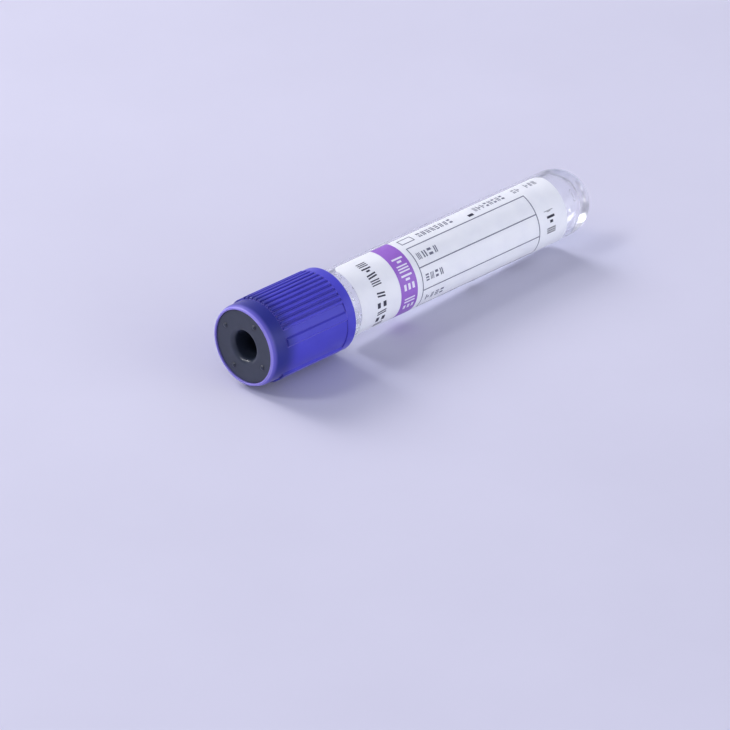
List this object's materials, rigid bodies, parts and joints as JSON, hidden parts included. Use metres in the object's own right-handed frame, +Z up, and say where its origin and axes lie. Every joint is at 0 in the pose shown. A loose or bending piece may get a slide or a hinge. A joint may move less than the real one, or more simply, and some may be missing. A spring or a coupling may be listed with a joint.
{
  "type": "blood collection tube",
  "caption": "Round-bottomed clear plastic sample tube lying on its side, with a ribbed push-on cap, a rubber stopper with a needle well, and a wrapped label with a colour band.",
  "frame": {"origin": "on the surface the tube lies on, under the middle of its length", "axes": "+Z up; +X along the tube from the closure's needle face towards the dome, level to within the two degrees by which the thicker cap lifts that end; the label's middle faces up and towards -Y"},
  "size_m": [0.087, 0.0158, 0.0165],
  "materials": {
    "clear_tube": "clear moulded plastic, polished",
    "label_paper": "smooth white label stock with a violet band",
    "additive": "clear dried droplets",
    "stopper_rubber": "matte moulded rubber, dark grey",
    "cap_plastic": "satin moulded plastic, blue violet"
  },
  "bodies": {
    "tube_body": {"tube": "clear_tube", "label": "label_paper", "additive_droplets": "additive"},
    "closure": {"cap": "cap_plastic", "stopper": "stopper_rubber"}
  },
  "joints": [
    {"name": "closure_pull", "type": "slide", "parent": "tube_body", "child": "closure", "axis": [-0.9996, 0, 0.027], "range_m": [0, 0.032]}
  ]
}
